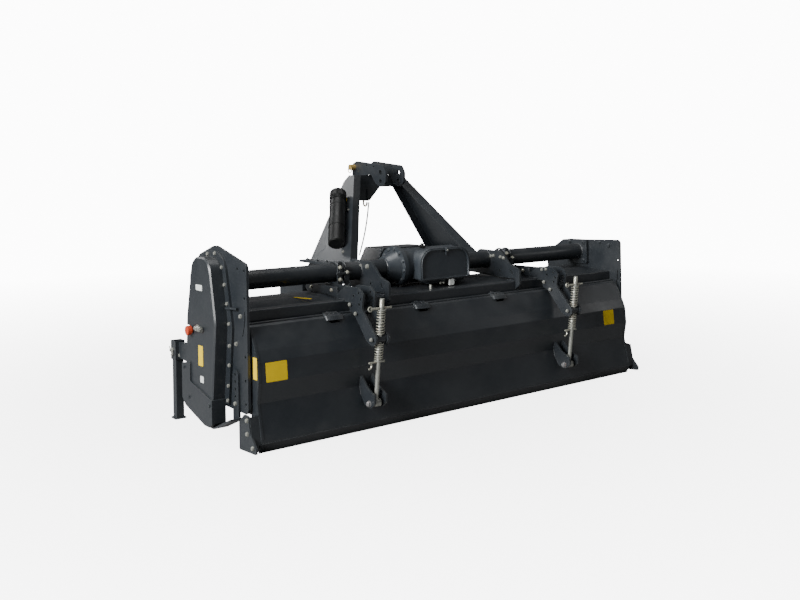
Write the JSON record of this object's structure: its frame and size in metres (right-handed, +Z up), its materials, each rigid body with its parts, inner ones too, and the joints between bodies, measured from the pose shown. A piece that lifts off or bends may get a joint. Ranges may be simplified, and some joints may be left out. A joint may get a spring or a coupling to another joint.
{
  "type": "rotary tiller",
  "caption": "Mounted rotary tiller with a wide hood, a spring-loaded hinged tailboard, a bladed rotor under it, a side drive case, a central gearbox and a three-point headstock.",
  "frame": {"origin": "middle of the lower link axis, between the two lower link bores", "axes": "+X to the machine's right along its width, +Y forward in the direction of travel, +Z up"},
  "size_m": [2.5313, 1.0543, 1.2196],
  "materials": {
    "charcoal_paint": "dark grey powder coat, satin",
    "zinc": "zinc plated",
    "black_plastic": "black polyethylene",
    "orange_plastic": "orange plastic cap",
    "tine_steel": "black painted hardened steel",
    "bare_steel": "ground steel"
  },
  "bodies": {
    "frame": {"side_plate_left": "charcoal_paint", "side_plate_right": "charcoal_paint", "main_tube_left": "charcoal_paint", "main_tube_right": "charcoal_paint", "tube_end_flange": "charcoal_paint", "hood_sheet": "charcoal_paint", "hood_rear_beam": "charcoal_paint", "gearbox_side_flange": "charcoal_paint", "gearbox_housing": "charcoal_paint", "gearbox_rear_cover": "charcoal_paint", "pto_guard": "charcoal_paint", "drive_case": "charcoal_paint", "drive_case_plug": "orange_plastic", "drive_case_guard": "charcoal_paint", "rotor_bearing_right": "charcoal_paint", "headstock_legs": "charcoal_paint", "headstock_crosshead": "charcoal_paint", "top_link_plates": "charcoal_paint", "top_link_pin": "zinc", "tube_brackets": "charcoal_paint", "link_cheeks": "charcoal_paint", "document_tube": "black_plastic", "spring_arms": "charcoal_paint", "skids": "charcoal_paint", "stand_sleeves": "charcoal_paint"},
    "rotor": {"rotor": "tine_steel"},
    "pto_shaft": {"pto_input_shaft": "bare_steel"},
    "tailboard": {"tailboard_sheet": "charcoal_paint", "tailboard_shields": "charcoal_paint", "rod_brackets": "charcoal_paint"},
    "rod_pivot_left": {"rod_pivot_left": "zinc", "spring_high_left": "zinc"},
    "tail_rod_left": {"tail_rod_left": "zinc", "spring_low_left": "zinc"},
    "stand_left": {"stand_leg_left": "charcoal_paint"},
    "rod_pivot_right": {"rod_pivot_right": "zinc", "spring_high_right": "zinc"},
    "tail_rod_right": {"tail_rod_right": "zinc", "spring_low_right": "zinc"},
    "stand_right": {"stand_leg_right": "charcoal_paint"}
  },
  "joints": [
    {"name": "rotor_turn", "type": "hinge", "parent": "frame", "child": "rotor", "pos_m": [0, -0.52, -0.201], "axis": [1, 0, 0], "continuous": true},
    {"name": "pto_turn", "type": "hinge", "parent": "frame", "child": "pto_shaft", "pos_m": [0, -0.34, 0.169], "axis": [0, 1, 0], "continuous": true},
    {"name": "tailboard_lift", "type": "hinge", "parent": "frame", "child": "tailboard", "pos_m": [0, -0.767, 0.013], "axis": [-1, 0, 0], "range_deg": [0, 12], "stiffness_Nm_per_rad": 1500, "springref_deg": -25.78},
    {"name": "rod_swing_left", "type": "hinge", "parent": "frame", "child": "rod_pivot_left", "pos_m": [-0.62, -0.966, -0.084], "axis": [-1, 0, 0], "range_deg": [0, 16.5]},
    {"name": "rod_slide_left", "type": "slide", "parent": "rod_pivot_left", "child": "tail_rod_left", "axis": [0, -0.1253, 0.9921], "range_m": [0, 0.043], "deforming": ["spring_low_left"]},
    {"name": "stand_lift_left", "type": "slide", "parent": "frame", "child": "stand_left", "axis": [0, 0, 1], "range_m": [0, 0.25]},
    {"name": "rod_swing_right", "type": "hinge", "parent": "frame", "child": "rod_pivot_right", "pos_m": [0.62, -0.966, -0.084], "axis": [-1, 0, 0], "range_deg": [0, 16.5]},
    {"name": "rod_slide_right", "type": "slide", "parent": "rod_pivot_right", "child": "tail_rod_right", "axis": [0, -0.1253, 0.9921], "range_m": [0, 0.043], "deforming": ["spring_low_right"]},
    {"name": "stand_lift_right", "type": "slide", "parent": "frame", "child": "stand_right", "axis": [0, 0, 1], "range_m": [0, 0.25]}
  ],
  "couplings": [
    {"joint": "pto_turn", "follows": "rotor_turn", "ratio": 2.4},
    {"joint": "rod_swing_left", "follows": "tailboard_lift", "ratio": 1.3538},
    {"joint": "rod_slide_left", "follows": "tailboard_lift", "m_per_rad": 0.2},
    {"joint": "rod_swing_right", "follows": "tailboard_lift", "ratio": 1.3538},
    {"joint": "rod_slide_right", "follows": "tailboard_lift", "m_per_rad": 0.2}
  ]
}
